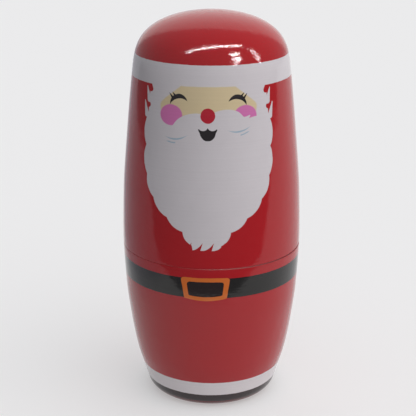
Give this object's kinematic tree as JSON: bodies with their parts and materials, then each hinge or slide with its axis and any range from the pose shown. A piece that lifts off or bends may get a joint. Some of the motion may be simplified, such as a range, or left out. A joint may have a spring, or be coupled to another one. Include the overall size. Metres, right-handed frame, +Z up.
{
  "type": "nesting doll",
  "caption": "Turned wooden nesting doll in a red winter coat with a white beard; each hollow doll opens at a spigot joint at its waist and holds a smaller one.",
  "frame": {"origin": "centre of the largest doll's foot, on the surface that it stands on", "axes": "+Z up along the turning axis, painted front facing -Y, +X to the right of someone who looks at the front"},
  "size_m": [0.0548, 0.0548, 0.12],
  "materials": {
    "lacquered_wood": "turned light wood, painted red, white and black outside under clear gloss lacquer, bare inside and on the spigots"
  },
  "bodies": {
    "outer_lower": {"outer_lower_half": "lacquered_wood"},
    "second_lower": {"second_lower_half": "lacquered_wood"},
    "third_lower": {"third_lower_half": "lacquered_wood"},
    "fourth_lower": {"fourth_lower_half": "lacquered_wood"},
    "smallest": {"smallest_doll": "lacquered_wood"},
    "fourth_upper": {"fourth_upper_half": "lacquered_wood"},
    "third_upper": {"third_upper_half": "lacquered_wood"},
    "second_upper": {"second_upper_half": "lacquered_wood"},
    "outer_upper": {"outer_upper_half": "lacquered_wood"}
  },
  "joints": [
    {"name": "second_doll_lift", "type": "slide", "parent": "outer_lower", "child": "second_lower", "axis": [0, 0, 1], "range_m": [0, 0.057]},
    {"name": "third_doll_lift", "type": "slide", "parent": "second_lower", "child": "third_lower", "axis": [0, 0, 1], "range_m": [0, 0.048]},
    {"name": "fourth_doll_lift", "type": "slide", "parent": "third_lower", "child": "fourth_lower", "axis": [0, 0, 1], "range_m": [0, 0.038]},
    {"name": "waist_turn", "type": "hinge", "parent": "fourth_lower", "child": "smallest", "pos_m": [0, 0, 0.026], "axis": [0, 0, 1], "continuous": true},
    {"name": "fourth_upper_lift", "type": "slide", "parent": "smallest", "child": "fourth_upper", "axis": [0, 0, 1], "range_m": [0, 0.028]},
    {"name": "third_upper_lift", "type": "slide", "parent": "fourth_upper", "child": "third_upper", "axis": [0, 0, 1], "range_m": [0, 0.04]},
    {"name": "second_upper_lift", "type": "slide", "parent": "third_upper", "child": "second_upper", "axis": [0, 0, 1], "range_m": [0, 0.052]},
    {"name": "outer_upper_lift", "type": "slide", "parent": "second_upper", "child": "outer_upper", "axis": [0, 0, 1], "range_m": [0, 0.064]}
  ]
}
